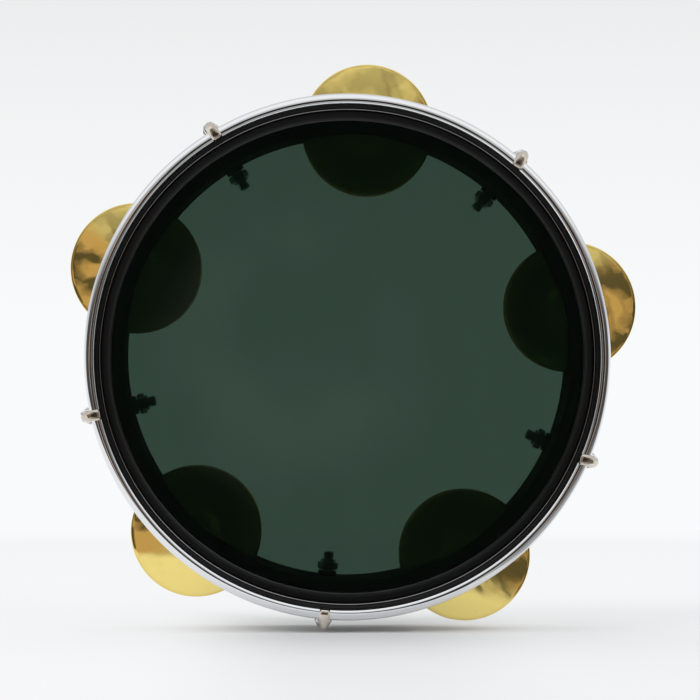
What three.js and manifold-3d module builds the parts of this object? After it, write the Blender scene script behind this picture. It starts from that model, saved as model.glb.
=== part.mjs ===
// A riq: a small frame drum with a tuned film head and five stations of brass jingles.
// Units are millimetres, +Z is up, and the origin lies on the floor under the middle of the drum.
//
// Each piece is drawn in the drum's own frame. There z runs along the drum's axis towards the player,
// z = 0 is the playing face of the head, and depths are measured back from that face.
// The first jingle station lies on the x axis of that frame. At the end the drum is turned about its
// axis and stood on its edge, with the head to the front, towards -Y.

import * as THREE from "three";
import { mergeVertices } from "three/addons/utils/BufferGeometryUtils.js";
import Module from "manifold-3d";

const wasm = await Module();
wasm.setup();

// Layout
const stations = 5;
const firstStationDegrees = 12.9;
const hookOffsetShare = 0.5; // of the way from one jingle station to the next

// Facets
const ringSides = 50;
const jingleSides = 18;
const smallSides = 10;
const cornerSteps = 2;
const beadSteps = 6;

// Fits shared by all pieces
const seatGap = 0.3;
const runningGap = 0.3;
const overrun = 2;

// Shell: a ring of bent plies with a bearing edge in front
const shellRadius = 107;
const shellWall = 6.5;
const shellDepth = 60;
const edgeRound = 1.2;
const edgeLand = 1;
const edgeBevelDepth = 3.5;
const backBevel = 1;

// Slits: two in each station, with a bridge of wood between them
const slitWidth = 63;
const slitHeight = 14.5;
const slitCorner = 3;
const frontSlitDepth = 14.4;
const bridgeHeight = 4;

// Head: a plastic film with a collar whose foot hangs in the flesh hoop
const filmThickness = 0.3;
const collarReach = 3.4;
const collarDepth = 5.8;
const footLength = 2.6;

// Tuning travel of the counterhoop from the tuned position
const slackTravel = 1.2;

// Flesh hoop: a channel ring that holds the film's foot
const hoopInnerWall = 0.9;
const hoopOuterWall = 2.7;
const hoopFloor = 0.7;
const hoopShoulderDepth = 6.2;

// Counterhoop: a skirt with a rolled bead in front and a lip inside that presses on the flesh hoop
const skirtWall = 1.1;
const skirtClearance = 0.35;
const skirtDepth = 13;
const lipWidth = 2.15;
const lipThickness = 1;
const beadRadius = 2.2;
const beadDepth = 3;

// Tension hooks: round rods bent over the bead, with a flat on the nose and a threaded shank
const rodRadius = 2;
const hookClearance = 0.25;
const noseOverhang = 0.5;
const noseFlatHeight = 0.9;
const plainRodLength = 5;
const rodSteps = 11;
const threadRadius = 1.95;
const shankDepth = 42;

// Lugs: a curved pad on the shell with a web and an eye for the hook's shank
const eyeDepth = 22;
const eyeLength = 12;
const eyeWall = 1.5;
const webWidth = 5;
const padDepth = 20;
const padLength = 30;
const padWidth = 12;
const padCorner = 2;
const padThickness = 2.2;
const screwPlaceShare = 0.8;
const screwDepth = padDepth + padLength * screwPlaceShare;

// Tuning nuts
const tuningNutFlats = 7;
const tuningNutHeight = 3.2;

// Lug screws, with their washers and lock nuts inside the shell
const boltRadius = 2.5;
const boltTail = 6.5;
const boltPoint = 0.7;
const screwHeadRadius = 4.5;
const screwHeadHeight = 2.7;
const screwHeadRim = 1.1;
const screwHeadCrownRadius = 3;
const washerRadius = 4.25;
const washerThickness = 2.3;
const lockNutFlats = 8;
const lockNutHexHeight = 3.4;
const lockNutCollarHeight = 1.4;
const lockNutCollarRadius = 3.6;

// Jingle pins
const pinRadius = 1.5;
const pinFrontDepth = 8;

// Jingles: thin bowed discs with a raised cup in the middle
const jingleRadius = 29.6;
const jingleThickness = 0.8;
const jingleBow = 1;
const cupRadius = 11.2;
const cupShoulderRadius = 6;
const cupShoulderHeight = 3.2;
const cupHeight = 3.7;
const jingleBore = 2.5;
const pairGap = 3;

// Places worked out from the sizes above
const shellBore = shellRadius - shellWall;
const shellFront = -(filmThickness + seatGap);
const shellBack = shellFront - shellDepth;
const crestRadius = shellRadius - edgeRound;
const footRadius = shellRadius + collarReach;
const footEnd = -(collarDepth + footLength);
const hoopOuterRadius = footRadius + runningGap + hoopOuterWall;
const skirtRadius = hoopOuterRadius + skirtClearance;
const beadCentre = skirtRadius + beadRadius;
const bendRadius = beadRadius + hookClearance + rodRadius;
const hookRadius = beadCentre + bendRadius;
const noseRadius = skirtRadius - noseOverhang;
const eyeBore = threadRadius + runningGap;
const eyeRadius = eyeBore + eyeWall;
const padInnerRadius = shellRadius + seatGap;
const padOuterRadius = padInnerRadius + padThickness;
const boltBore = boltRadius + runningGap;
const pinPlace = shellRadius - shellWall / 2;
const pinBore = pinRadius + runningGap;
const backSlitDepth = frontSlitDepth + slitHeight + bridgeHeight;
const hang = jingleBore - pinRadius - runningGap;
const stationTurn = (2 * Math.PI) / stations;
const firstStationTurn = THREE.MathUtils.degToRad(firstStationDegrees);

// Finishes, one material for each mesh
const finishes = {
  lacquer: { color: 0x121113, roughness: 0.32, metalness: 0 },
  film: { color: 0x22312b, roughness: 0.12, metalness: 0, transparent: true, opacity: 0.82 },
  aluminium: { color: 0xb9bcc0, roughness: 0.35, metalness: 1 },
  chrome: { color: 0xdcdee0, roughness: 0.06, metalness: 1 },
  nickel: { color: 0xcfc8bb, roughness: 0.16, metalness: 1 },
  zinc: { color: 0xa9acae, roughness: 0.3, metalness: 1 },
  steel: { color: 0x8f9295, roughness: 0.28, metalness: 1 },
  brass: { color: 0xd0aa54, roughness: 0.14, metalness: 1 },
};

function named(name, geometry, finish) {
  const mesh = new THREE.Mesh(geometry, new THREE.MeshStandardMaterial(finishes[finish]));
  mesh.name = name;
  return mesh;
}

// Solids for cutting and joining

function toSolid(geometry) {
  const bare = geometry.clone();
  bare.deleteAttribute("normal");
  bare.deleteAttribute("uv");
  const welded = mergeVertices(bare);
  const corners = welded.index.array;
  const faces = [];
  for (let i = 0; i < corners.length; i += 3) {
    const [a, b, c] = [corners[i], corners[i + 1], corners[i + 2]];
    if (a !== b && b !== c && c !== a) faces.push(a, b, c);
  }
  return new wasm.Manifold(new wasm.Mesh({
    numProp: 3,
    vertProperties: new Float32Array(welded.attributes.position.array),
    triVerts: new Uint32Array(faces),
  }));
}

function toGeometry(solid) {
  const mesh = solid.getMesh();
  const geometry = new THREE.BufferGeometry();
  geometry.setAttribute("position", new THREE.BufferAttribute(mesh.vertProperties, 3));
  geometry.setIndex(new THREE.BufferAttribute(mesh.triVerts, 1));
  geometry.computeVertexNormals();
  return geometry;
}

// Turned and extruded forms

function arc(centreRadius, centreZ, radius, fromDegrees, toDegrees, steps) {
  const points = [];
  for (let i = 0; i <= steps; i += 1) {
    const angle = THREE.MathUtils.degToRad(fromDegrees + ((toDegrees - fromDegrees) * i) / steps);
    points.push([centreRadius + radius * Math.cos(angle), centreZ + radius * Math.sin(angle)]);
  }
  return points;
}

// A profile of [radius, z] points, counter-clockwise, turned about the z axis.
function turned(profile, sides) {
  const outline = profile.map(([radius, z]) => new THREE.Vector2(radius, z));
  return new THREE.LatheGeometry(outline, sides).rotateX(Math.PI / 2);
}

function turnedRing(profile, sides) {
  return turned([...profile, profile[0]], sides);
}

// The same about the x axis, which points straight out from the drum's middle.
function turnedOutwards(profile, sides) {
  const outline = profile.map(([radius, x]) => new THREE.Vector2(radius, x));
  return new THREE.LatheGeometry(outline, sides).rotateZ(-Math.PI / 2);
}

// A round rod from one x to another along the x axis, at the given z.
function rodOutwards(radius, fromX, toX, z) {
  const rod = new THREE.CylinderGeometry(radius, radius, toX - fromX, smallSides);
  return rod.rotateZ(-Math.PI / 2).translate((fromX + toX) / 2, 0, z);
}

// A round rod along the z axis, at the given x.
function rodAlongAxis(radius, fromZ, toZ, x) {
  const rod = new THREE.CylinderGeometry(radius, radius, toZ - fromZ, smallSides);
  return rod.rotateX(Math.PI / 2).translate(x, 0, (fromZ + toZ) / 2);
}

// A hexagon with one flat towards +x, as a shape round the point (x, 0).
function hexagon(flats, x) {
  const cornerRadius = flats / Math.sqrt(3);
  const shape = new THREE.Shape();
  for (let i = 0; i < 6; i += 1) {
    const angle = Math.PI / 6 + (i * Math.PI) / 3;
    const [px, py] = [x + cornerRadius * Math.cos(angle), cornerRadius * Math.sin(angle)];
    if (i === 0) shape.moveTo(px, py);
    else shape.lineTo(px, py);
  }
  return shape;
}

function roundHole(radius, x) {
  return new THREE.Path().absarc(x, 0, radius, 0, 2 * Math.PI, true);
}

// Each arc of the shape is drawn in arcSteps straight steps, twice its curveSegments.
function extruded(shape, fromZ, toZ, arcSteps) {
  const options = { depth: toZ - fromZ, bevelEnabled: false, curveSegments: arcSteps / 2 };
  return new THREE.ExtrudeGeometry(shape, options).translate(0, 0, fromZ);
}

// Tips a shape drawn in the x, y plane and extruded along z, so that its x, y and z become y, z and x.
function tippedOutwards(geometry) {
  return geometry.rotateX(Math.PI / 2).rotateZ(Math.PI / 2);
}

// Shell

function slitCutter(slitDepth) {
  const top = -slitDepth;
  const bottom = top - slitHeight;
  const half = slitWidth / 2;
  const shape = new THREE.Shape();
  shape.moveTo(-half + slitCorner, bottom);
  shape.lineTo(half - slitCorner, bottom);
  shape.absarc(half - slitCorner, bottom + slitCorner, slitCorner, -Math.PI / 2, 0, false);
  shape.absarc(half - slitCorner, top - slitCorner, slitCorner, 0, Math.PI / 2, false);
  shape.absarc(-half + slitCorner, top - slitCorner, slitCorner, Math.PI / 2, Math.PI, false);
  shape.absarc(-half + slitCorner, bottom + slitCorner, slitCorner, Math.PI, 1.5 * Math.PI, false);
  const nearest = Math.sqrt(shellBore ** 2 - half ** 2) - overrun;
  return tippedOutwards(extruded(shape, nearest, shellRadius + overrun, cornerSteps));
}

function shell() {
  const profile = [
    [shellBore, shellBack + backBevel],
    [shellBore + backBevel, shellBack],
    [shellRadius - backBevel, shellBack],
    [shellRadius, shellBack + backBevel],
    ...arc(crestRadius, shellFront - edgeRound, edgeRound, 0, 90, cornerSteps),
    [crestRadius - edgeLand, shellFront],
    [shellBore, shellFront - edgeBevelDepth],
  ];
  let body = toSolid(turnedRing(profile, ringSides));
  const slits = [frontSlitDepth, backSlitDepth].map((depth) => toSolid(slitCutter(depth)));
  const pinHole = toSolid(rodAlongAxis(pinBore, shellBack - overrun, seatGap - pinFrontDepth, pinPlace));
  const screwHole = toSolid(rodOutwards(boltBore, shellBore - overrun, shellRadius + overrun, -screwDepth));
  for (let i = 0; i < stations; i += 1) {
    const turn = THREE.MathUtils.radToDeg(stationTurn);
    for (const cutter of [...slits, pinHole]) body = body.subtract(cutter.rotate([0, 0, i * turn]));
    body = body.subtract(screwHole.rotate([0, 0, (i + hookOffsetShare) * turn]));
  }
  return named("shell", toGeometry(body), "lacquer");
}

// Head and hoops

function headFilm() {
  const underside = edgeRound + seatGap;
  const centreZ = shellFront - edgeRound;
  const collarDegrees = 35;
  const profile = [
    [0, -filmThickness],
    ...arc(crestRadius, centreZ, underside, 90, collarDegrees, cornerSteps),
    [footRadius - filmThickness, -collarDepth],
    [footRadius - filmThickness, footEnd],
    [footRadius, footEnd],
    [footRadius, -collarDepth],
    ...arc(crestRadius, centreZ, underside + filmThickness, collarDegrees, 90, cornerSteps),
    [0, 0],
  ];
  return named("head_film", turned(profile, ringSides), "film");
}

function fleshHoop() {
  const grooveInner = footRadius - filmThickness - runningGap;
  const grooveOuter = footRadius + runningGap;
  const grooveFloor = footEnd - slackTravel - seatGap;
  const innerTop = -(collarDepth + slackTravel);
  const profile = [
    [grooveInner - hoopInnerWall, grooveFloor - hoopFloor],
    [hoopOuterRadius, grooveFloor - hoopFloor],
    [hoopOuterRadius, -hoopShoulderDepth],
    [grooveOuter, -hoopShoulderDepth],
    [grooveOuter, grooveFloor],
    [grooveInner, grooveFloor],
    [grooveInner, innerTop],
    [grooveInner - hoopInnerWall, innerTop],
  ];
  return named("flesh_hoop", turnedRing(profile, ringSides), "aluminium");
}

function counterhoop() {
  const lipBottom = seatGap - hoopShoulderDepth;
  const lipTop = lipBottom + lipThickness;
  const lipRadius = skirtRadius - lipWidth;
  const underBeadDegrees = -60;
  const profile = [
    [lipRadius, lipBottom],
    [skirtRadius, lipBottom],
    [skirtRadius, -skirtDepth],
    [skirtRadius + skirtWall, -skirtDepth],
    [skirtRadius + skirtWall, lipBottom],
    ...arc(beadCentre, -beadDepth, beadRadius, underBeadDegrees, 180, beadSteps),
    [skirtRadius, lipTop],
    [lipRadius, lipTop],
  ];
  return named("counterhoop", turnedRing(profile, ringSides), "chrome");
}

// Tension hooks

// The rod's middle line: up beside the bead, a quarter turn round it, then straight to the nose.
class HookLine extends THREE.Curve {
  getPoint(share, target = new THREE.Vector3()) {
    const bendLength = (bendRadius * Math.PI) / 2;
    const noseLength = beadCentre - noseRadius + overrun;
    const along = share * (plainRodLength + bendLength + noseLength);
    if (along < plainRodLength) {
      return target.set(hookRadius, 0, -beadDepth - plainRodLength + along);
    }
    const turn = Math.min((along - plainRodLength) / bendRadius, Math.PI / 2);
    const past = Math.max(along - plainRodLength - bendLength, 0);
    const x = beadCentre + bendRadius * Math.cos(turn) - past;
    return target.set(x, 0, -beadDepth + bendRadius * Math.sin(turn));
  }
}

function hookGeometry() {
  const section = new THREE.Shape().absarc(0, 0, rodRadius, 0, 2 * Math.PI, false);
  const options = { steps: rodSteps, curveSegments: smallSides / 2, extrudePath: new HookLine() };
  const rod = toSolid(new THREE.ExtrudeGeometry(section, options));
  const shankTop = -beadDepth - plainRodLength + overrun;
  const shank = toSolid(rodAlongAxis(threadRadius, -shankDepth, shankTop, hookRadius));
  const flatZ = bendRadius - beadDepth + noseFlatHeight;
  const keptHeight = shankDepth + flatZ + overrun;
  const keptReach = hookRadius + rodRadius + overrun - noseRadius;
  const keptWidth = 2 * (rodRadius + overrun);
  const kept = new THREE.BoxGeometry(keptReach, keptWidth, keptHeight);
  kept.translate(noseRadius + keptReach / 2, 0, flatZ - keptHeight / 2);
  return toGeometry(rod.add(shank).intersect(toSolid(kept)));
}

// Lugs and nuts

// A plate with small front corners and a half-round back end, kept only where it lies in a thin ring
// round the shell, so that its faces follow the shell's curve.
function lugPad() {
  const half = padWidth / 2;
  const top = -padDepth;
  const roundCentre = top - padLength + half;
  const shape = new THREE.Shape();
  shape.absarc(0, roundCentre, half, Math.PI, 2 * Math.PI, false);
  shape.absarc(half - padCorner, top - padCorner, padCorner, 0, Math.PI / 2, false);
  shape.absarc(padCorner - half, top - padCorner, padCorner, Math.PI / 2, Math.PI, false);
  const plate = tippedOutwards(extruded(shape, shellRadius - overrun, padOuterRadius + overrun, smallSides));
  const ringProfile = [
    [padInnerRadius, top - padLength - overrun],
    [padOuterRadius, top - padLength - overrun],
    [padOuterRadius, top + overrun],
    [padInnerRadius, top + overrun],
  ];
  return toSolid(plate).intersect(toSolid(turnedRing(ringProfile, ringSides)));
}

function lugGeometry() {
  const webRoot = (padInnerRadius + padOuterRadius) / 2;
  const neck = Math.asin(webWidth / 2 / eyeRadius);
  const eyeShape = new THREE.Shape();
  eyeShape.moveTo(webRoot, -webWidth / 2);
  eyeShape.absarc(hookRadius, 0, eyeRadius, neck - Math.PI, Math.PI - neck, false);
  eyeShape.lineTo(webRoot, webWidth / 2);
  eyeShape.holes.push(roundHole(eyeBore, hookRadius));
  const eye = toSolid(extruded(eyeShape, -(eyeDepth + eyeLength), -eyeDepth, smallSides));

  const hole = rodOutwards(boltBore, padInnerRadius - overrun, padOuterRadius + overrun, -screwDepth);
  return toGeometry(lugPad().add(eye).subtract(toSolid(hole)));
}

function tuningNutGeometry() {
  const shape = hexagon(tuningNutFlats, hookRadius);
  shape.holes.push(roundHole(eyeBore, hookRadius));
  const top = -(eyeDepth + eyeLength + seatGap);
  return extruded(shape, top - tuningNutHeight, top, smallSides);
}

// The stack inside the shell runs inwards: washer, lock nut, then the screw's tail.
const washerFace = shellBore - seatGap;
const lockNutFace = washerFace - washerThickness - seatGap;
const lockNutEnd = lockNutFace - lockNutHexHeight - lockNutCollarHeight;
const boltEnd = lockNutEnd - boltTail;
const screwHeadSeat = padOuterRadius + seatGap;

function lugScrewGeometry() {
  const profile = [
    [0, boltEnd],
    [boltRadius - boltPoint, boltEnd],
    [boltRadius, boltEnd + boltPoint],
    [boltRadius, screwHeadSeat],
    [screwHeadRadius, screwHeadSeat],
    [screwHeadRadius, screwHeadSeat + screwHeadRim],
    [screwHeadCrownRadius, screwHeadSeat + screwHeadHeight],
    [0, screwHeadSeat + screwHeadHeight],
  ];
  return turnedOutwards(profile, smallSides).translate(0, 0, -screwDepth);
}

function saddleWasherGeometry() {
  const profile = [
    [boltBore, washerFace - washerThickness],
    [washerRadius, washerFace - washerThickness],
    [washerRadius, washerFace],
    [boltBore, washerFace],
    [boltBore, washerFace - washerThickness],
  ];
  return turnedOutwards(profile, smallSides).translate(0, 0, -screwDepth);
}

function lockNutGeometry() {
  const hexEnd = lockNutFace - lockNutHexHeight;
  const hex = extruded(hexagon(lockNutFlats, 0), hexEnd, lockNutFace, smallSides).rotateY(Math.PI / 2);
  const collar = rodOutwards(lockNutCollarRadius, lockNutEnd, hexEnd + lockNutHexHeight / 2, 0);
  const bore = rodOutwards(boltBore, lockNutEnd - overrun, lockNutFace + overrun, 0);
  const nut = toSolid(hex).add(toSolid(collar)).subtract(toSolid(bore));
  return toGeometry(nut).translate(0, 0, -screwDepth);
}

// Jingles and their pins

function jinglePinGeometry() {
  return rodAlongAxis(pinRadius, shellBack + seatGap, -pinFrontDepth, pinPlace);
}

// Seen from the partner disc, z = 0 is the plane of the rim and the cup rises along +z.
function jingleGeometry() {
  const profile = [
    [jingleBore, cupHeight],
    [cupRadius, jingleBow],
    [jingleRadius, 0],
    [jingleRadius, jingleThickness],
    [cupRadius + jingleThickness / 2, jingleBow + jingleThickness],
    [cupShoulderRadius + jingleThickness / 2, cupShoulderHeight + jingleThickness],
    [jingleBore, cupHeight + jingleThickness],
  ];
  return turnedRing(profile, jingleSides);
}

// The four discs of a station, front to back: two pairs, each with its cups turned outwards.
function addJingles(drum, geometry, station) {
  const angle = station * stationTurn;
  const down = new THREE.Vector2(-Math.sin(firstStationTurn), -Math.cos(firstStationTurn));
  const x = pinPlace * Math.cos(angle) + hang * down.x;
  const y = pinPlace * Math.sin(angle) + hang * down.y;
  const letters = ["a", "b", "c", "d"];
  letters.forEach((letter, i) => {
    const slitDepth = i < 2 ? frontSlitDepth : backSlitDepth;
    const facesFront = i % 2 === 0;
    const side = facesFront ? 1 : -1;
    const jingle = named(`jingle_${station + 1}_${letter}`, geometry, "brass");
    jingle.position.set(x, y, -(slitDepth + slitHeight / 2) + (side * pairGap) / 2);
    if (!facesFront) jingle.rotation.x = Math.PI;
    drum.add(jingle);
  });
}

// Assembly

function addAround(drum, name, geometry, finish, offset) {
  for (let i = 0; i < stations; i += 1) {
    const piece = named(`${name}_${i + 1}`, geometry, finish);
    piece.rotation.z = (i + offset) * stationTurn;
    drum.add(piece);
  }
}

function buildDrum() {
  const drum = new THREE.Group();
  drum.add(shell(), headFilm(), fleshHoop(), counterhoop());
  addAround(drum, "hook", hookGeometry(), "nickel", hookOffsetShare);
  addAround(drum, "lug", lugGeometry(), "chrome", hookOffsetShare);
  addAround(drum, "tuning_nut", tuningNutGeometry(), "nickel", hookOffsetShare);
  addAround(drum, "lug_screw", lugScrewGeometry(), "zinc", hookOffsetShare);
  addAround(drum, "saddle_washer", saddleWasherGeometry(), "zinc", hookOffsetShare);
  addAround(drum, "lock_nut", lockNutGeometry(), "zinc", hookOffsetShare);
  addAround(drum, "jingle_pin", jinglePinGeometry(), "steel", 0);
  const jingle = jingleGeometry();
  for (let station = 0; station < stations; station += 1) addJingles(drum, jingle, station);
  drum.rotation.z = firstStationTurn;
  return drum;
}

// Stands the drum on its edge and puts the origin on the floor under its middle.
function standUp(drum) {
  const standing = new THREE.Group();
  standing.add(drum);
  standing.rotation.x = Math.PI / 2;
  standing.updateMatrixWorld(true);
  const box = new THREE.Box3().setFromObject(standing, true);
  const middle = box.getCenter(new THREE.Vector3());
  standing.position.set(-middle.x, -middle.y, -box.min.z);
  return standing;
}

export default standUp(buildDrum());
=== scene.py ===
# %% [markdown]
# # Dressing a riq
# A riq is a small frame drum: a ring of bent plies with a tuned film head and five stations of
# brass cymbals, called jingles. The model behind this lesson already has every piece in its place
# and knows how it moves. Here each piece gets the shape and finish that the eye expects, and the
# drum gets a plain pale studio to stand in.

# %% Load the model
import math

import bmesh
import bpy
import numpy as np
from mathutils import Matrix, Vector


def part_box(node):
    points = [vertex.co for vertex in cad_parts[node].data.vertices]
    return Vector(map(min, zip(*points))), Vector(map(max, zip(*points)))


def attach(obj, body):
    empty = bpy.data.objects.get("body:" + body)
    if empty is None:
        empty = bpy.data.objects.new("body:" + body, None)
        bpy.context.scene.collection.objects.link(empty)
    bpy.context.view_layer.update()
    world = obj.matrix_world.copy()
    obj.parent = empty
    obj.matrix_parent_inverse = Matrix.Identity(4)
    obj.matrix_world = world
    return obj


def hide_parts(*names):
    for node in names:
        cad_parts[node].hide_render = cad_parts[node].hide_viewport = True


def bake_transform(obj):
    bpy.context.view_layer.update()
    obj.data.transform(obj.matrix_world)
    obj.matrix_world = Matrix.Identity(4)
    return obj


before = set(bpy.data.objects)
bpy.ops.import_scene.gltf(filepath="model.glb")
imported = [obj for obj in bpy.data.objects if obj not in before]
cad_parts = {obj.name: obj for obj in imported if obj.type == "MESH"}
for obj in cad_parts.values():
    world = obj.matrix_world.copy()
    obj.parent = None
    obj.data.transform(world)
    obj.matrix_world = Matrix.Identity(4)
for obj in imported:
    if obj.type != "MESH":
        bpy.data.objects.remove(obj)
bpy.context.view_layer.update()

# %% [markdown]
# ## Where things are
# The drum stands on its edge with the head to the front. All of its pieces are laid out round one
# axis, so it is easier to think in three numbers of the drum's own: how far across along the ring,
# how far out from the axis, and how deep behind the playing face. One function turns such points
# round the axis, and another carries them from millimetres into the metres of the room. The axis
# and the face are read from the model's boxes.

# %% The drum's own frame
MM = 0.001
STATIONS = 5
FIRST_STATION_DEGREES = 12.9
STATION_DEGREES = 360 / STATIONS

rim_low, rim_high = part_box("counterhoop")
AXIS_X = (rim_low[0] + rim_high[0]) / 2 / MM
AXIS_Z = (rim_low[2] + rim_high[2]) / 2 / MM
FACE_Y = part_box("head_film")[0][1] / MM


def turned(points, degrees):
    """Points (across, outward, depth) turned about the line where across and outward are nothing.
    Angles grow from the room's right upwards, as seen from the front."""
    across, outward, depth = np.moveaxis(np.asarray(points, float), -1, 0)
    turn = math.radians(degrees)
    swung = outward * math.sin(turn) + across * math.cos(turn)
    reached = outward * math.cos(turn) - across * math.sin(turn)
    return np.stack([swung, reached, depth], axis=-1)


def to_room(points):
    """Room metres of points (across, outward, depth) in millimetres, at the station of angle 0:
    outward is the room's right, across is up, and depth runs back from the face."""
    across, outward, depth = np.moveaxis(np.asarray(points, float), -1, 0)
    return np.stack([AXIS_X + outward, FACE_Y + depth, AXIS_Z + across], axis=-1) * MM


station_angles = [FIRST_STATION_DEGREES + STATION_DEGREES * i for i in range(STATIONS)]
hook_angles = [angle + STATION_DEGREES / 2 for angle in station_angles]
print(f"axis at x {AXIS_X:.2f}, z {AXIS_Z:.2f} mm, playing face at y {FACE_Y:.2f} mm")

# %% [markdown]
# ## The camera
# The photograph was taken from nearly two metres away, almost straight along the drum's axis, so
# the back edge of the shell shows just inside the front one. A long lens at the real distance gives
# the same narrow perspective. The look is turned by a fraction of a degree, which moves the back
# edge a little to the left of the front one.

# %% Camera
LENS_MM, SENSOR_MM = 212.6, 36
DISTANCE_MM = 1850
LOOK_TURN_DEGREES = -0.73
AIM_RIGHT_MM, AIM_UP_MM = 1.09, 3.1

look_turn = math.radians(LOOK_TURN_DEGREES)
forward = Vector((-math.sin(look_turn), math.cos(look_turn), 0))
right = Vector((math.cos(look_turn), math.sin(look_turn), 0))
face_middle = Vector((AXIS_X, FACE_Y, AXIS_Z))
eye = face_middle - DISTANCE_MM * forward + AIM_RIGHT_MM * right + Vector((0, 0, AIM_UP_MM))

camera_data = bpy.data.cameras.new("portrait_lens")
camera_data.lens, camera_data.sensor_width = LENS_MM, SENSOR_MM
camera_data.clip_start, camera_data.clip_end = 0.05, 50
camera = bpy.data.objects.new("portrait_camera", camera_data)
camera.location = eye * MM
camera.rotation_euler = (math.radians(90), 0, look_turn)
bpy.context.collection.objects.link(camera)
bpy.context.scene.camera = camera
print("camera at", [round(v, 4) for v in camera.location])

# %% [markdown]
# ## Shader sums
# A finish is easier to read as a formula than as a web of nodes. This small class wraps one socket,
# and each operator on it adds the Math node that does the sum. Any other node comes from one
# method, which takes the node's type, its settings, and the values or links of its sockets.

# %% Wire and Bench


def sum_method(operation, swapped=False):
    """A method that adds the Math node of one operation, with its values swapped on request."""
    def method(self, *others):
        values = (self, *others)
        return self.bench.math(operation, *(values[::-1] if swapped else values))
    return method


class Wire:
    """A shader socket that can stand in sums."""

    def __init__(self, bench, socket):
        self.bench, self.socket = bench, socket

    __add__ = __radd__ = sum_method("ADD")
    __sub__, __rsub__ = sum_method("SUBTRACT"), sum_method("SUBTRACT", swapped=True)
    __mul__ = __rmul__ = sum_method("MULTIPLY")
    at_least, size, wave = sum_method("MAXIMUM"), sum_method("ABSOLUTE"), sum_method("SINE")

    def rise(self, start, end):
        """A smooth step from 0 at start to 1 at end."""
        span = {"Value": self, "From Min": start, "From Max": end}
        smooth = {"interpolation_type": "SMOOTHSTEP"}
        return self.bench.node("ShaderNodeMapRange", smooth, span)["Result"]


class Bench:
    """Lays nodes into one tree and wires them up."""

    def __init__(self, tree):
        self.tree = tree
        tree.nodes.clear()

    def node(self, kind, settings=None, sockets=None):
        """Adds a node, sets it, fills its sockets, found by name or number, and gives its
        outputs by name."""
        made = self.tree.nodes.new(kind)
        for key, value in (settings or {}).items():
            setattr(made, key, value)
        for key, value in (sockets or {}).items():
            named = [s for s in made.inputs if s.enabled and s.name == key]
            socket = named[0] if named else made.inputs[key]
            if isinstance(value, Wire):
                self.tree.links.new(value.socket, socket)
            else:
                colour = isinstance(value, tuple) and socket.type == "RGBA"
                socket.default_value = (*value, 1) if colour else value
        return {out.name: Wire(self, out) for out in made.outputs if out.enabled}

    def math(self, operation, *values):
        return self.node("ShaderNodeMath", {"operation": operation}, dict(enumerate(values)))["Value"]

    def split(self, vector):
        """The three numbers of a vector, as X, Y and Z."""
        return self.node("ShaderNodeSeparateXYZ", {}, {"Vector": vector})

    def length(self, vector):
        return self.node("ShaderNodeVectorMath", {"operation": "LENGTH"}, {0: vector})["Value"]

    def mix(self, share, first, second):
        """A colour between two, by share."""
        sockets = {"Factor": share, "A": first, "B": second}
        return self.node("ShaderNodeMix", {"data_type": "RGBA"}, sockets)["Result"]

    def place(self, turn=(0, 0, 0), scale=(1, 1, 1)):
        """The point in the object, measured from the drum's axis, turned and stretched."""
        point = self.node("ShaderNodeTexCoord")["Object"]
        sockets = {0: point, 1: (-AXIS_X * MM, -FACE_Y * MM, -AXIS_Z * MM)}
        moved = self.node("ShaderNodeVectorMath", {"operation": "ADD"}, sockets)["Vector"]
        sockets = {"Vector": moved, "Rotation": turn, "Scale": scale}
        return self.node("ShaderNodeMapping", {}, sockets)["Vector"]

    def noise(self, vector, scale, detail=2.0, roughness=0.5):
        sockets = {"Vector": vector, "Scale": scale, "Detail": detail, "Roughness": roughness}
        return self.node("ShaderNodeTexNoise", {}, sockets)["Fac"]

    def bump(self, height, distance):
        return self.node("ShaderNodeBump", {}, {"Distance": distance, "Height": height})["Normal"]

    def principled(self, sockets):
        return self.node("ShaderNodeBsdfPrincipled", {}, sockets)["BSDF"]

    def metal(self, colours, share, roughness, relief, relief_metres):
        """A bare metal: a colour between two by share, with a roughness and a fine relief."""
        return self.principled({
            "Base Color": self.mix(share, *colours),
            "Metallic": 1.0,
            "Roughness": roughness,
            "Normal": self.bump(relief, relief_metres),
        })

    def blend(self, share, first, second):
        """A surface between two, by share."""
        return self.node("ShaderNodeMixShader", {}, {0: share, 1: first, 2: second})["Shader"]

    def output(self, surface):
        self.node("ShaderNodeOutputMaterial", {}, {"Surface": surface})


def new_finish(name, colour):
    """An empty material with its bench; colour is how it looks in a plain viewport."""
    finish = bpy.data.materials.new(name)
    finish.use_nodes = True
    finish.diffuse_color = (*colour, 1)
    return finish, Bench(finish.node_tree)


print("the bench is ready")

# %% [markdown]
# ## The studio
# Polished metal shows the room more than itself. The room here has three faces. Camera rays see a
# pale backdrop that darkens a little upwards. Glossy rays see that backdrop behind the drum, a
# bright ceiling, pale walls far out to the sides, some warm patches, brown to the sides and broken
# by thin bars on the right, and near darkness straight in front, where the camera stands. That
# darkness gives chrome its thin black line and keeps the film black. Faint soft clouds in the
# middle of it lie on the film like haze. Diffuse rays get plain even light.

# %% World
AMBIENT_LEVEL = 0.66
BACKDROP_LEVEL, BACKDROP_FALL, BACKDROP_CURVE, BACKDROP_LEAST = 0.965, 0.75, 7, 0.74
CEILING_LEVEL, WALL_LEVEL, GROUND_LEVEL, ROOM_LEVEL = 0.98, 0.65, 0.35, 0.06
DARK_LEVEL, CLOUD_LEVEL, PATCH_LEAST, PATCH_LEVEL = 0.006, 0.20, 0.04, 0.46
COOL_WHITE, WARM_WHITE, BROWN = (0.985, 0.993, 1.0), (1.0, 0.95, 0.88), (1.0, 0.70, 0.48)

world = bpy.data.worlds.new("studio")
bpy.context.scene.world = world
world.use_nodes = True
room = Bench(world.node_tree)

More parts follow.
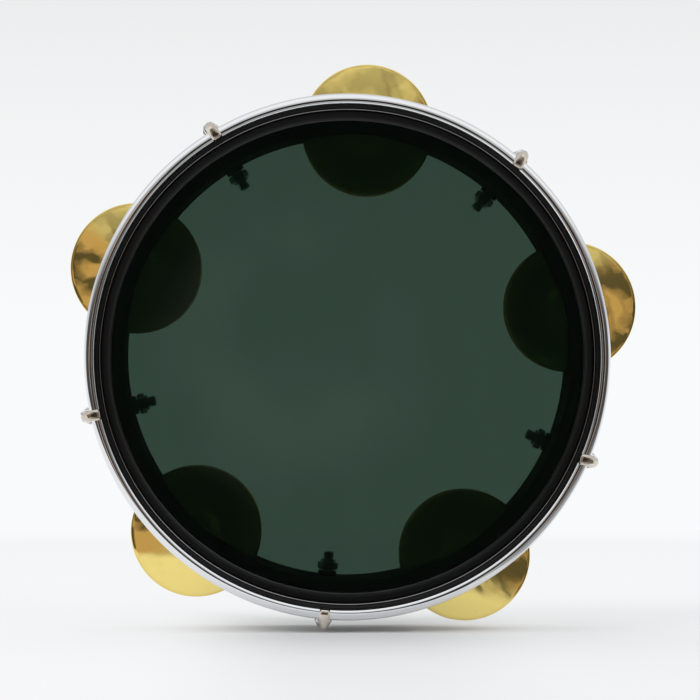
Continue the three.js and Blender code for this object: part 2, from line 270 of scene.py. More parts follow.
direction = room.node("ShaderNodeTexCoord")["Generated"]
ways = room.split(direction)
sideways, backwards, upwards = ways["X"], ways["Y"], ways["Z"]
height = upwards.at_least(0)
backdrop = BACKDROP_LEVEL - BACKDROP_FALL * height - BACKDROP_CURVE * height * height
backdrop = backdrop.at_least(BACKDROP_LEAST)

spread = room.math("SQRT", sideways * sideways + upwards * upwards)
clear_of_camera = spread.rise(0.085, 0.13)
ceiling = CEILING_LEVEL * upwards.rise(0.05, 0.6)
ground = GROUND_LEVEL * (0 - upwards).rise(0.10, 0.5)
walls = WALL_LEVEL * sideways.size().rise(0.85, 0.97)
clouds = room.noise(direction, 24, 1).rise(0.42, 0.68) * (1 - spread.rise(0.018, 0.042))
front = DARK_LEVEL + CLOUD_LEVEL * clouds
front = front + (ROOM_LEVEL + ceiling.at_least(walls).at_least(ground)) * clear_of_camera
behind = backwards.rise(-0.25, 0.2)
mirrored = front + behind * (backdrop - front)

rays = room.node("ShaderNodeLightPath")
clear = rays["Is Camera Ray"].at_least(rays["Is Transmission Ray"])
sharp = rays["Is Glossy Ray"]
level = AMBIENT_LEVEL + sharp * (mirrored - AMBIENT_LEVEL)
level = level + clear * (backdrop - level)
neutral = room.mix(level, (0.0, 0.0, 0.0), COOL_WHITE)

above_or_below = 0.5 * upwards.size().rise(0.10, 0.13)
shapes = room.noise(direction, 13, 2).rise(0.465, 0.495).at_least(above_or_below)
bars = (90 * sideways + 40 * upwards).wave().rise(0.78, 0.9) * sideways.rise(0.03, 0.05)
patches = PATCH_LEAST + PATCH_LEVEL * shapes * (1 - bars)
warm_share = sharp * clear_of_camera * (1 - spread.rise(0.24, 0.36)) * (1 - behind) * patches
to_the_side = (0.8 * sideways.size() - upwards.size()).rise(-0.03, 0.02)
warmth = {"Factor": warm_share, "A": neutral, "B": room.mix(to_the_side, WARM_WHITE, BROWN)}
tint = room.node("ShaderNodeMix", {"data_type": "RGBA", "blend_type": "ADD"}, warmth)["Result"]
glow = room.node("ShaderNodeBackground", {}, {"Color": tint, "Strength": 1.0})["Background"]
room.node("ShaderNodeOutputWorld", {}, {"Surface": glow})
print("world nodes:", len(world.node_tree.nodes))

# %% [markdown]
# Three large soft lamps stand in for the photographer's softboxes: one overhead, a little behind
# the drum, and one on each side in front. They are hidden from glossy rays, because the world
# already draws what metal should mirror.

# %% Lamps
DRUM_MIDDLE = Vector((0, 0, 0.12))


def softbox(name, place, size, watts):
    """A square area lamp that faces the middle of the drum."""
    data = bpy.data.lights.new(name, "AREA")
    data.shape, data.size, data.energy = "SQUARE", size, watts
    lamp = bpy.data.objects.new(name, data)
    lamp.location = place
    aim = DRUM_MIDDLE - lamp.location
    lamp.rotation_euler = aim.to_track_quat("-Z", "Y").to_euler()
    lamp.visible_glossy = False
    bpy.context.collection.objects.link(lamp)


softbox("overhead_softbox", (0.0, 0.25, 1.7), size=1.4, watts=7)
softbox("left_softbox", (-1.3, -1.2, 0.8), size=1.2, watts=6)
softbox("right_softbox", (1.3, -1.2, 0.8), size=1.2, watts=5)
print("lamps:", len(bpy.data.lights))

# %% [markdown]
# ## Surfaces from formulas
# Each new piece is a grid of points worked out by a formula. One function joins the grids of a
# piece with four-sided faces, welds the seams and poles, and turns every face outwards. Most
# outlines have small rounded corners, because a real edge is never quite sharp and the rounding is
# what catches the light. Small pieces are drawn once about an axis of their own, set at their
# distance from the drum's axis, and turned to each station or hook.

# %% Mesh helpers
WELD_METRES = 2e-6


def grid_faces(rows, columns, round_rows, round_columns, first):
    """Corners of the four-sided faces of a grid; a round direction joins its end to its start."""
    row = np.arange(rows if round_rows else rows - 1)
    column = np.arange(columns if round_columns else columns - 1)
    row, column = [a.ravel() for a in np.meshgrid(row, column, indexing="ij")]
    next_row, next_column = (row + 1) % rows, (column + 1) % columns
    corners = [row * columns + column, next_row * columns + column]
    corners += [next_row * columns + next_column, row * columns + next_column]
    return np.stack(corners, axis=-1) + first


def new_mesh(name, grids):
    """One welded mesh from grids of room points, each given with its two round directions."""
    points, faces, count = [], [], 0
    for grid, round_rows, round_columns in grids:
        rows, columns = grid.shape[:2]
        faces.append(grid_faces(rows, columns, round_rows, round_columns, count))
        points.append(grid.reshape(-1, 3))
        count += rows * columns
    mesh = bpy.data.meshes.new(name)
    mesh.from_pydata(np.concatenate(points).tolist(), [], np.concatenate(faces).tolist())
    work = bmesh.new()
    work.from_mesh(mesh)
    bmesh.ops.remove_doubles(work, verts=work.verts, dist=WELD_METRES)
    bmesh.ops.recalc_face_normals(work, faces=work.faces)
    work.to_mesh(mesh)
    work.free()
    return mesh


def count_triangles(piece):
    piece.data.calc_loop_triangles()
    return len(piece.data.loop_triangles)


def add_piece(name, grids, body, node, finishes, angle=0.0, sharp_degrees=35):
    """A piece of the drum, turned to its place: it rides on its body and stands for its node."""
    placed = [(to_room(turned(grid, angle)), *directions) for grid, *directions in grids]
    mesh = new_mesh(name, placed)
    mesh.shade_smooth()
    mesh.set_sharp_from_angle(angle=math.radians(sharp_degrees))
    for finish in finishes:
        mesh.materials.append(finish)
    piece = bpy.data.objects.new(name, mesh)
    bpy.context.collection.objects.link(piece)
    if body:
        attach(piece, body)
    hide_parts(node)
    return piece


def add_around(angles, *kinds):
    """At each angle one piece of each kind, numbered like the nodes; bodies and nodes are given
    with {} for the number."""
    for number, angle in enumerate(angles, 1):
        for name, grids, body, node, slot, finish, sharp in kinds:
            piece = add_piece(f"{name}_{number}", grids, body.format(number), node.format(number),
                              [finish], angle, sharp)
            if number == len(angles):
                print(f"{name} triangles, each:", count_triangles(piece))


def second_finish(piece, chosen):
    """Faces take the piece's second finish where chosen(reach, depth) holds for their middle, with
    the reach from the drum's axis and the depth behind the face in millimetres."""
    middle = np.empty(len(piece.data.polygons) * 3)
    piece.data.polygons.foreach_get("center", middle)
    x, y, z = middle.reshape(-1, 3).T / MM
    picked = chosen(np.hypot(x - AXIS_X, z - AXIS_Z), y - FACE_Y)
    piece.data.polygons.foreach_set("material_index", picked.astype(np.int32))


def full_turn(steps):
    """Even angles round a full turn, in radians."""
    return np.arange(steps) * 2 * math.pi / steps


def spun(turn, reach, depth):
    """Points (across, outward, depth) at a reach from an axis, turned away from straight outwards."""
    return np.stack(np.broadcast_arrays(reach * np.sin(turn), reach * np.cos(turn), depth), axis=-1)


def ring(profile, sides=360):
    """A profile (radius, depth) carried round the drum's axis."""
    radius, depth = np.asarray(profile).T
    return spun(full_turn(sides)[:, None], radius, depth)


def loft(steps):
    """A grid from (reach, height) steps, where either is a number or one value for each angle."""
    size = max(np.size(reach) for reach, _ in steps)
    reach, height = [np.stack([np.broadcast_to(step[i], size) for step in steps], 1) for i in (0, 1)]
    return spun(full_turn(size)[:, None], reach, height)


def arc(centre, radius, start, end, steps):
    """Points on a circle from one angle to another, in degrees; the second number grows backwards.
    A pair of radii gives an ellipse."""
    angle = np.radians(np.linspace(start, end, steps))
    return np.asarray(centre) + np.stack([np.cos(angle), -np.sin(angle)], axis=-1) * radius


def rounded(corners, radius, steps):
    """A closed outline with each corner replaced by an arc that touches both of its sides. The
    arc's centre lies on the corner's bisector, at radius / sin(half the corner's angle)."""
    corners = np.asarray(corners, float)
    radius = np.asarray(radius, float)[:, None]
    ways = [np.roll(corners, step, axis=0) - corners for step in (1, -1)]
    back, ahead = [way / np.linalg.norm(way, axis=1, keepdims=True) for way in ways]
    half = np.arccos(np.clip((back * ahead).sum(1, keepdims=True), -1, 1)) / 2
    bisector = (back + ahead) / np.linalg.norm(back + ahead, axis=1, keepdims=True)
    centre = corners + bisector * radius / np.sin(half)
    start = corners + back * radius / np.tan(half) - centre
    end = corners + ahead * radius / np.tan(half) - centre
    sweep = math.pi - 2 * half
    share = np.linspace(0, 1, steps)[:, None, None]
    bend = (np.sin((1 - share) * sweep) * start + np.sin(share * sweep) * end) / np.sin(sweep)
    return (centre + bend).transpose(1, 0, 2).reshape(-1, 2)


def at_depth(flat, depth):
    """Points (across, outward) at one depth."""
    return np.column_stack([flat, np.full(len(flat), depth)])


def along_depth(grid, outward):
    """Sets a small piece's axis along the drum's, at this distance from it."""
    return grid + np.array([0, outward, 0])


def along_radius(grid, depth):
    """Sets a small piece's axis along the drum's radius, at this depth; its height is the radius."""
    across, out, height = np.moveaxis(grid, -1, 0)
    return np.stack([across, height, depth - out], axis=-1)


print("mesh helpers are ready")

# %% [markdown]
# ## Lacquered shell
# The shell is bent from plies, turned true, slotted and lacquered black. Outside it has a satin
# lacquer, with the faint orange peel of a sprayed coat; inside it is plain matt paint, so the wall
# stays dark even where the eye grazes along it. The grain of both finishes runs from the front edge
# to the back one, as in an outer ply that is laid crosswise.

# %% Finishes of the shell
lacquer, bench = new_finish("satin_black_lacquer", (0.02, 0.02, 0.022))
grain = bench.noise(bench.place(scale=(1, 0.08, 1)), 900, 3)
peel = bench.noise(bench.place(), 420, 2)
cloud = bench.noise(bench.place(), 30, 3)
bench.output(bench.principled({
    "Base Color": bench.mix(grain.rise(0.35, 0.7), (0.010, 0.009, 0.009), (0.020, 0.018, 0.018)),
    "Roughness": 0.24 + 0.10 * cloud + 0.04 * peel,
    "Normal": bench.bump(peel + 0.4 * grain, 0.00002),
    "Coat Weight": 0.35,
    "Coat Roughness": 0.12,
}))

matt, bench = new_finish("matt_black_paint", (0.012, 0.012, 0.012))
brushed = bench.noise(bench.place(scale=(1, 0.15, 1)), 700, 4)
dust = bench.noise(bench.place(), 60, 5, 0.7)
bench.output(bench.principled({
    "Base Color": bench.mix(dust.rise(0.45, 0.8), (0.006, 0.005, 0.005), (0.014, 0.012, 0.011)),
    "Roughness": 0.8 + 0.15 * brushed,
    "Normal": bench.bump(brushed, 0.00005),
    "Specular IOR Level": 0.12,
}))
print("finishes:", lacquer.name, matt.name)

# %% [markdown]
# The shell's wall is not a plain ring, because ten slits pass through it. A cut with another solid
# would leave ragged faces, so the grid is laid round the slits instead. Each slit sits in a
# rectangular field of the skin, and the field's rows run from the rectangle in to the slit's
# rounded outline, over a small softened edge, through the wall, and out again on the inside.
# Fields, plain panels and the two rolled edges share their border points, so they weld into one
# closed body. The front edge is the bearing edge: a round crest for the film, a narrow flat, and a
# bevel down to the bore.

# %% Shell
OUTER, BORE, DEPTH_FRONT, DEPTH_BACK = 107.0, 100.5, 0.6, 60.6
BEARING_ROUND, BEARING_FLAT, BEVEL_END, BACK_ROUND = 1.2, 1.0, 4.5, 1.0
SLIT_HALF_WIDTH, SLIT_HALF_HEIGHT, SLIT_CORNER = 31.5, 7.25, 3.0
SLIT_DEPTHS = (21.65, 40.15)
FIELD_EDGES = (10.0, 30.9, 52.0)
FIELD_HALF_WIDTH = 36.0
SOFT_EDGE = 0.5
ARC_HALF_STEPS, WIDTH_STEPS, HEIGHT_STEPS, PANEL_STEPS = 3, 24, 5, 8
STRAIGHT_X, STRAIGHT_Z = SLIT_HALF_WIDTH - SLIT_CORNER, SLIT_HALF_HEIGHT - SLIT_CORNER
FIELDS = list(zip(SLIT_DEPTHS, FIELD_EDGES, FIELD_EDGES[1:]))


def half_outline(side, corner, top):
    """Up the right side, round the corner, along the top and round the mirrored corner, short of
    the point where the other half goes on."""
    return np.concatenate([side[:-1], corner[:-1], top[:-1], (corner * [-1, 1])[::-1][:-1]])


def slit_outline(grow):
    """Points of a slit's outline round its middle, counter-clockwise from the lower right:
    straight sides joined by quarter circles, all moved outwards by grow."""
    x, z, corner = STRAIGHT_X, STRAIGHT_Z, SLIT_CORNER + grow
    side = np.linspace((x + corner, -z), (x + corner, z), HEIGHT_STEPS + 1)
    bend = arc((x, z), corner, 0, -90, 2 * ARC_HALF_STEPS + 1)
    top = np.linspace((x, z + corner), (-x, z + corner), WIDTH_STEPS + 1)
    half = half_outline(side, bend, top)
    return np.concatenate([half, -half])


def field_border(above, below):
    """The same points pushed out to the field's rectangle, which reaches above and below the
    slit's middle by these amounts."""
    x, z, edge = STRAIGHT_X, STRAIGHT_Z, FIELD_HALF_WIDTH

    def half(reach):
        side = np.linspace((edge, -z), (edge, z), HEIGHT_STEPS + 1)
        up = np.linspace((edge, z), (edge, reach), ARC_HALF_STEPS + 1)
        inwards = np.linspace((edge, reach), (x, reach), ARC_HALF_STEPS + 1)
        top = np.linspace((x, reach), (-x, reach), WIDTH_STEPS + 1)
        return half_outline(side, np.concatenate([up[:-1], inwards]), top)

    return np.concatenate([half(above), -half(below)])


def on_skin(x, radius):
    """How far out the skin of that radius lies at x across from the station's middle."""
    return np.sqrt(radius ** 2 - x ** 2)


def slit_field(depth, front_edge, back_edge):
    """A field with its slit, as one grid of (outline point, step): in over the outer skin, round
    the softened edge, through the wall and out over the inner skin."""
    border = field_border(depth - front_edge, back_edge - depth)
    near = slit_outline(SOFT_EDGE)
    steps = []
    for radius, inwards, order in ((OUTER, 1, 1), (BORE, -1, -1)):
        part = []
        for share in np.linspace(0, 1, 4)[:-1]:
            flat = border + share * (near - border)
            part.append((flat, on_skin(flat[:, 0], radius)))
        for angle in np.radians(np.linspace(0, 90, 5)):
            flat = slit_outline(SOFT_EDGE * (1 - math.sin(angle)))
            drop = inwards * SOFT_EDGE * (1 - math.cos(angle))
            part.append((flat, on_skin(flat[:, 0], radius) - drop))
        steps += part[::order]
    rows = [np.stack([flat[:, 0], out, depth - flat[:, 1]], axis=-1) for flat, out in steps]
    return np.stack(rows, axis=1)


def column_angles(radius):
    """Angles, from the station's middle, of the columns that the fields' borders give this skin."""
    outer_part = np.linspace(FIELD_HALF_WIDTH, STRAIGHT_X, ARC_HALF_STEPS + 1)[:-1]
    middle = np.linspace(STRAIGHT_X, -STRAIGHT_X, WIDTH_STEPS + 1)
    field = np.arcsin(np.concatenate([outer_part, middle, -outer_part[::-1]]) / radius)
    panel = np.linspace(math.radians(STATION_DEGREES / 2), field[0], PANEL_STEPS + 1)[:-1]
    return np.concatenate([panel, field, -panel[::-1]])


def edge_band(profile):
    """A profile from the outer skin to the bore, carried along the columns. Each column's angle
    slides from the outer skin's to the bore's as the profile's radius shrinks."""
    radius, depth = np.asarray(profile, float).T
    share = (OUTER - radius) / (OUTER - BORE)
    outer, inner = column_angles(OUTER)[:, None], column_angles(BORE)[:, None]
    return spun(outer + share * (inner - outer), radius, depth)


def side_depths():
    """Depths of the rows that the fields' borders give the panels beside them."""
    rows = []
    for depth, front, back in FIELDS:
        low, high = depth - STRAIGHT_Z, depth + STRAIGHT_Z
        rows.append(np.linspace(front, low, ARC_HALF_STEPS + 1)[:-1])
        rows.append(np.linspace(low, high, HEIGHT_STEPS + 1)[:-1])
        rows.append(np.linspace(high, back, ARC_HALF_STEPS + 1)[:-1])
    return np.concatenate(rows + [[FIELD_EDGES[-1]]])


def panel(radius, side):
    """The plain skin between a field and the edge of its station, on one side."""
    return spun(side * column_angles(radius)[:PANEL_STEPS + 1, None], radius, side_depths())


CREST = (OUTER - BEARING_ROUND, DEPTH_FRONT + BEARING_ROUND)
bevel_start = OUTER - BEARING_ROUND - BEARING_FLAT
front_edge = [(OUTER, FIELD_EDGES[0]), (OUTER, FIELD_EDGES[0] / 2)]
front_edge += [*arc(CREST, BEARING_ROUND, 0, 90, 9)]
front_edge += [(bevel_start, DEPTH_FRONT), (bevel_start - 0.3, DEPTH_FRONT + 0.1)]
front_edge += [(BORE + 0.4, BEVEL_END - 0.6), (BORE, BEVEL_END), (BORE, FIELD_EDGES[0])]
back_depth = DEPTH_BACK - BACK_ROUND
back_edge = [(OUTER, FIELD_EDGES[-1]), *arc((OUTER - BACK_ROUND, back_depth), BACK_ROUND, 0, -90, 6)]
back_edge += [*arc((BORE + BACK_ROUND, back_depth), BACK_ROUND, -90, -180, 6), (BORE, FIELD_EDGES[-1])]

shell_grids = []
for angle in station_angles:
    shell_grids += [(turned(slit_field(*field), angle), True, False) for field in FIELDS]
    flat_grids = [edge_band(front_edge), edge_band(back_edge)]
    flat_grids += [panel(radius, side) for radius in (OUTER, BORE) for side in (1, -1)]
    shell_grids += [(turned(grid, angle), False, False) for grid in flat_grids]

shell = add_piece("lacquered_shell", shell_grids, "drum", "shell", [lacquer, matt],
                  sharp_degrees=30)
second_finish(shell, lambda reach, depth: reach < BORE + 0.3)
print("shell triangles:", count_triangles(shell))

# %% [markdown]
# ## Head film
# The head is a moulded plastic film. It is flat across the bearing edge and drops in a sloping
# collar to the flesh hoop. Dark green dye lets about a twentieth of the light through, so it looks
# black over the shell and green over the pale room behind. A Principled surface with full
# transmission and a dyed base colour does this, and the film is a real thin slab with two faces.
# The moulded collar is dyed through, so a little beyond the bearing edge the film turns to plain
# black plastic, by a mix of the two surfaces over the distance from the axis.

# %% Finish of the film
DYED_FROM, DYED_FULLY = 0.1059, 0.1065
film, bench = new_finish("smoked_green_film", (0.03, 0.06, 0.045))
ripple = bench.noise(bench.place(), 26, 2)
smear = bench.noise(bench.place(turn=(0, 0.5, 0), scale=(1, 1, 0.35)), 70, 4, 0.6)
from_axis = bench.split(bench.place())
out = bench.math("SQRT", from_axis["X"] * from_axis["X"] + from_axis["Z"] * from_axis["Z"])
smoked = bench.principled({
    "Base Color": bench.mix(smear, (0.032, 0.060, 0.043), (0.037, 0.067, 0.049)),
    "Roughness": 0.015 + 0.03 * smear.rise(0.5, 0.8),
    "Normal": bench.bump(ripple, 0.00002),
    "Transmission Weight": 1.0,
    "IOR": 1.5,
})
opaque = bench.principled({
    "Base Color": bench.mix(smear, (0.009, 0.009, 0.009), (0.013, 0.013, 0.013)),
    "Roughness": 0.34 + 0.12 * smear,
    "Specular IOR Level": 0.1,
})
bench.output(bench.blend(out.rise(DYED_FROM, DYED_FULLY), smoked, opaque))

# %% Head film
FOOT_RADIUS, FOOT_DEPTH, COLLAR_DEPTH, FILM = 110.4, 8.4, 5.8, 0.3
COLLAR_DEGREES, BLEND_START, BLEND_END = 35, 2.0, 7.5

face_rings = np.concatenate([np.linspace(0, 98, 14), [102, 104.4, 105.3, 105.65]])
under = np.stack([face_rings, np.full(face_rings.size, FILM)], axis=-1)
over = np.stack([face_rings, np.zeros(face_rings.size)], axis=-1)
inside = FOOT_RADIUS - FILM
film_profile = [*under, *arc(CREST, CREST[1] - FILM, 90, COLLAR_DEGREES, 9)]
film_profile += [(inside, COLLAR_DEPTH), (inside, FOOT_DEPTH), (FOOT_RADIUS, FOOT_DEPTH)]
film_profile += [(FOOT_RADIUS, COLLAR_DEPTH + 0.2), (FOOT_RADIUS - 0.1, COLLAR_DEPTH - 0.3)]
film_profile += [*arc(CREST, CREST[1], COLLAR_DEGREES, 90, 9), *over[::-1]]

head = add_piece("smoked_head", [(ring(film_profile), True, True)], None, "head_film", [film])
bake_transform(head)
print("film triangles:", count_triangles(head))

# %% [markdown]
# ## Rim: flesh hoop and counterhoop
# The film's foot is held in an aluminium channel, the flesh hoop. The counterhoop presses on it.
# It is rolled from steel strip: a skirt, a lip turned inwards, and a bead rolled outwards over the
# front. The bead is steep on the inside and falls away gently on the outside, which gives a narrow
# light and a broad one with a thin dark line between them. The lip at the bottom of the groove
# beside the bead gets a near-black finish, a painted shade for the shadow down in that groove.

# %% Finishes of the rim
aluminium, bench = new_finish("drawn_aluminium", (0.35, 0.35, 0.36))
drawn = bench.noise(bench.place(scale=(1, 8, 1)), 500, 3)
greys = (0.36, 0.36, 0.37), (0.46, 0.46, 0.47)
bench.output(bench.metal(greys, drawn, 0.10 + 0.08 * drawn, drawn, 0.000002))

chrome, bench = new_finish("polished_chrome", (0.8, 0.81, 0.83))
haze = bench.noise(bench.place(), 90, 4, 0.6)
scratch = bench.noise(bench.place(turn=(0.3, 0.8, 0.2), scale=(1, 14, 1)), 600, 2)
silvers = (0.80, 0.81, 0.83), (0.86, 0.87, 0.89)
roughness = 0.025 + 0.04 * haze.rise(0.45, 0.75) + 0.02 * scratch.rise(0.6, 0.75)
relief = 0.3 * scratch.rise(0.55, 0.8) + haze
bench.output(bench.metal(silvers, haze, roughness, relief, 0.0000008))

# Painted shade: a near-black finish for the lip where the groove lies in shadow.
groove_shade, bench = new_finish("painted_shade_groove", (0.01, 0.01, 0.01))
scale = bench.noise(bench.place(), 800, 3)
bench.output(bench.principled({
    "Base Color": bench.mix(scale, (0.006, 0.006, 0.006), (0.014, 0.013, 0.012)),
    "Roughness": 0.25 + 0.15 * scale,
    "Normal": bench.bump(scale, 0.000005),
    "Specular IOR Level": 0.2,
}))

# %% Flesh hoop
HOOP_IN, CHANNEL_IN, CHANNEL_OUT, HOOP_STEP, HOOP_OUT = 108.9, 109.8, 110.7, 111.56, 113.4
OUTER_WALL, STEP_DEPTH, INNER_WALL, CHANNEL_FLOOR, HOOP_BACK = 5.5, 6.2, 7.0, 9.9, 10.6

hoop_corners = [(HOOP_IN, HOOP_BACK), (HOOP_OUT, HOOP_BACK), (HOOP_OUT, STEP_DEPTH)]
hoop_corners += [(HOOP_STEP, STEP_DEPTH), (HOOP_STEP, OUTER_WALL), (CHANNEL_OUT, OUTER_WALL)]
hoop_corners += [(CHANNEL_OUT, CHANNEL_FLOOR), (CHANNEL_IN, CHANNEL_FLOOR)]
hoop_corners += [(CHANNEL_IN, INNER_WALL), (HOOP_IN, INNER_WALL)]
hoop_profile = rounded(hoop_corners, [0.3, 0.4, 0.35, 0.02, 0.4, 0.4, 0.1, 0.1, 0.25, 0.25], 7)
hoop = add_piece("channel_hoop", [(ring(hoop_profile), True, True)], "tension_rim", "flesh_hoop",
                 [aluminium])

# %% Counterhoop
LIP_IN, LIP_FRONT, LIP_BACK = 111.6, 4.9, 5.9
SKIRT_IN, SKIRT_OUT, SKIRT_BACK, SKIRT_SOFT = 113.75, 114.85, 13.0, 0.2
BEAD_DEPTH = 3.2
PAINTED_SHADE_REACH, PAINTED_SHADE_FRONT, PAINTED_SHADE_BACK = 113.3, 2.7, 6.0

lip = [(LIP_IN, LIP_BACK - 0.35), (LIP_IN + 0.25, LIP_BACK), (SKIRT_IN, LIP_BACK)]
skirt = [(SKIRT_IN, SKIRT_BACK - SKIRT_SOFT), (SKIRT_IN + SKIRT_SOFT, SKIRT_BACK)]
skirt += [(SKIRT_OUT - SKIRT_SOFT, SKIRT_BACK), (SKIRT_OUT, SKIRT_BACK - SKIRT_SOFT)]
under_bead = [(SKIRT_OUT, 5.0), (SKIRT_OUT + 0.35, 4.55)]
under_bead += [*arc((116.75, BEAD_DEPTH), (1.4, 1.3), -90, 0, 9)]
outer_flank = arc((115.4, BEAD_DEPTH), (2.75, 2.25), 0, 90, 18)
inner_flank = arc((114.8, 2.6), 1.65, 90, 180, 16)
groove_floor = [(113.15, 4.6), (112.95, LIP_FRONT), (111.95, LIP_FRONT), (111.7, 5.0), (LIP_IN, 5.25)]
rim_profile = [*lip, *skirt, *under_bead, *outer_flank[1:], *inner_flank, *groove_floor]
rim = add_piece("rolled_counterhoop", [(ring(rim_profile, 480), True, True)], "tension_rim",
                "counterhoop", [chrome, groove_shade], sharp_degrees=60)
# The lip's faces down in the groove take the painted shade finish.
second_finish(rim, lambda reach, depth: (reach < PAINTED_SHADE_REACH)
              & (depth > PAINTED_SHADE_FRONT) & (depth < PAINTED_SHADE_BACK))
print("rim triangles:", count_triangles(rim), "hoop triangles:", count_triangles(hoop))

# %% [markdown]
# ## Tension hooks
# Each hook is a nickelled steel rod whose end is forged into a claw and bent a quarter turn over
# the bead. The claw's section is a bar with its two front corners planed off, and a flat is planed
# across its front. A path of a straight, an arc and a straight carries the section, and where the
# plane of the flat passes through it, the section's top is cut off at that height. So the flat
# gets crisp edges that run together to a point on the bend. The hooks aren't all turned alike on
# their shanks, because a player tightens them by hand.

# %% Finish of the hooks and nuts
nickel, bench = new_finish("worn_nickel", (0.6, 0.56, 0.5))
rub = bench.noise(bench.place(), 260, 5, 0.65)
draw = bench.noise(bench.place(scale=(6, 1, 6)), 500, 3)
warm_greys = (0.62, 0.56, 0.48), (0.74, 0.69, 0.61)
roughness = 0.05 + 0.07 * rub + 0.03 * draw
bench.output(bench.metal(warm_greys, rub.rise(0.35, 0.7), roughness, rub + 0.5 * draw, 0.000002))

# %% Hooks
ROD, SHANK_RADIUS, NECK_START, SHANK_END = 2.0, 120.4, 5.0, 42.0
BEND, BEND_DEPTH, FLAT_DEPTH = 4.45, 3.0, -2.35
THREAD_START, THREAD_RADIUS, THREAD_PITCH, THREAD_HEIGHT = 8.0, 1.95, 0.7, 0.22
CLAW_HALF, CLAW_TOP, CLAW_BOTTOM, CLAW_FOOT_HALF = 2.4, 1.75, -1.9, 1.6
SHOULDER, LOWER_SHOULDER, FLANK_LEAN = 0.1, -1.2, 0.98
NOSE_END, NOSE_ROUND, NOSE_NARROWING, NOSE_THICKNESS = 113.25, 1.1, 0.3, 0.35
HOOK_TWISTS = (10, 4, -3, 0, 10)


def claw_section(kept):
    """The bar's outline as (across, up): flanks rise from the shoulders and lean in by FLANK_LEAN
    for each millimetre, up to a top at kept; the lower corners are cut off too."""
    top = min(kept, CLAW_TOP)
    half = CLAW_HALF - FLANK_LEAN * (top - SHOULDER)
    right = [(half, top), (CLAW_HALF, SHOULDER)]
    right += [(CLAW_HALF, LOWER_SHOULDER), (CLAW_FOOT_HALF, CLAW_BOTTOM)]
    left = [(-across, up) for across, up in right[::-1]]
    return rounded(right + left, [0.1, 0.2, 0.25, 0.25, 0.25, 0.25, 0.2, 0.1], 4)


def claw():
    """The section carried from the shank round a quarter circle and inwards to the nose, whose
    front edge is rounded over while its underside stays flat on the bead. Outward is measured
    from the shank's own axis."""
    full = claw_section(CLAW_TOP)
    circle = full / np.linalg.norm(full, axis=1, keepdims=True) * (ROD - 0.1)
    straight = ((0 * full, 6.6), (circle, 6.6), (full * 0.97, 5.2), (full, 4.9))
    rows = [at_depth(flat, depth) for flat, depth in straight]
    for turn in np.radians(np.linspace(0, 90, 31)):
        kept = (BEND_DEPTH - FLAT_DEPTH) / max(math.sin(turn), 1e-6) - BEND
        across, up = claw_section(kept).T
        reach = BEND + up
        outward, depth = reach * math.cos(turn) - BEND, BEND_DEPTH - reach * math.sin(turn)
        rows.append(np.column_stack([across, outward, depth]))
    # The bend's last section goes on as the nose.
    base = BEND_DEPTH - BEND - CLAW_BOTTOM
    for turn in np.radians([0, 15, 30, 45, 60, 72, 82, 90]):
        narrowed = across * (1 - NOSE_NARROWING * (1 - math.cos(turn)))
        outward = NOSE_END - SHANK_RADIUS + NOSE_ROUND * (1 - math.sin(turn))
        thinned = base + (NOSE_THICKNESS + (1 - NOSE_THICKNESS) * math.cos(turn)) * (depth - base)
        rows.append(np.column_stack([narrowed, np.full(len(across), outward), thinned]))
    rows.append(np.broadcast_to(rows[-1].mean(axis=0), rows[-1].shape))
    return np.stack(rows, axis=1)


def threaded(start, end, radius, height, pitch, sides):
    """Steps of a thread on a rod: the reach follows a triangle wave of the way along / pitch minus
    angle / full turn, and the wave fades at both ends."""
    steps = []
    for along in np.arange(start, end, pitch / 6):
        phase = (along / pitch - full_turn(sides) / (2 * math.pi)) % 1
        fade = min((along - start) / pitch, 1) * min((end - along) / pitch, 1)
        steps.append((radius - height * np.abs(2 * phase - 1) * fade, along))
    return steps


def shank():
    """The plain neck, the thread and the chamfered end, round the shank's own axis."""
    ends = THREAD_START, SHANK_END - 0.8
    steps = [(0, NECK_START), (ROD, NECK_START), (ROD, THREAD_START - 0.3)]
    steps += threaded(*ends, THREAD_RADIUS, THREAD_HEIGHT, THREAD_PITCH, 48)
    return loft(steps + [(1.7, SHANK_END - 0.4), (1.35, SHANK_END), (0, SHANK_END)])


for number, (angle, twist) in enumerate(zip(hook_angles, HOOK_TWISTS), 1):
    grids = [(along_depth(turned(grid, twist), SHANK_RADIUS), True, False) for grid in (claw(), shank())]
    hook = add_piece(f"bent_hook_{number}", grids, "tension_rim", f"hook_{number}",
                     [nickel], angle, sharp_degrees=25)
print("hook triangles:", count_triangles(hook))

# %% [markdown]
# ## Small turned and six-sided pieces
# Washers, nuts and screws are lofts: an outline that changes shape from step to step. A hexagon and
# the circle of its bore are both sampled at the same angles, so one grid can run up the flats, over
# the chamfer, across the face and down the bore. The chamfer of a real nut is a cone that trims the
# corners, so its height falls with the distance from the middle.

# %% Finishes of the small parts
zinc, bench = new_finish("bright_zinc", (0.6, 0.61, 0.63))
spangle_sockets = {"Vector": bench.place(), "Scale": 700.0}
spangle = bench.node("ShaderNodeTexVoronoi", {}, spangle_sockets)["Distance"]
drift = bench.noise(bench.place(), 200, 4)
zinc_greys = (0.52, 0.53, 0.55), (0.68, 0.69, 0.70)
roughness = 0.22 + 0.12 * drift + 0.05 * spangle
bench.output(bench.metal(zinc_greys, drift, roughness, spangle + drift, 0.000012))

steel, bench = new_finish("drawn_steel_wire", (0.5, 0.5, 0.51))
die = bench.noise(bench.place(scale=(9, 0.6, 9)), 500, 3)
steel_greys = (0.42, 0.42, 0.43), (0.58, 0.58, 0.59)
bench.output(bench.metal(steel_greys, die, 0.16 + 0.14 * die, die, 0.000008))

# %% Hexagons
TURN_STEPS = 96
CHAMFER_SLOPE = math.tan(math.radians(30))


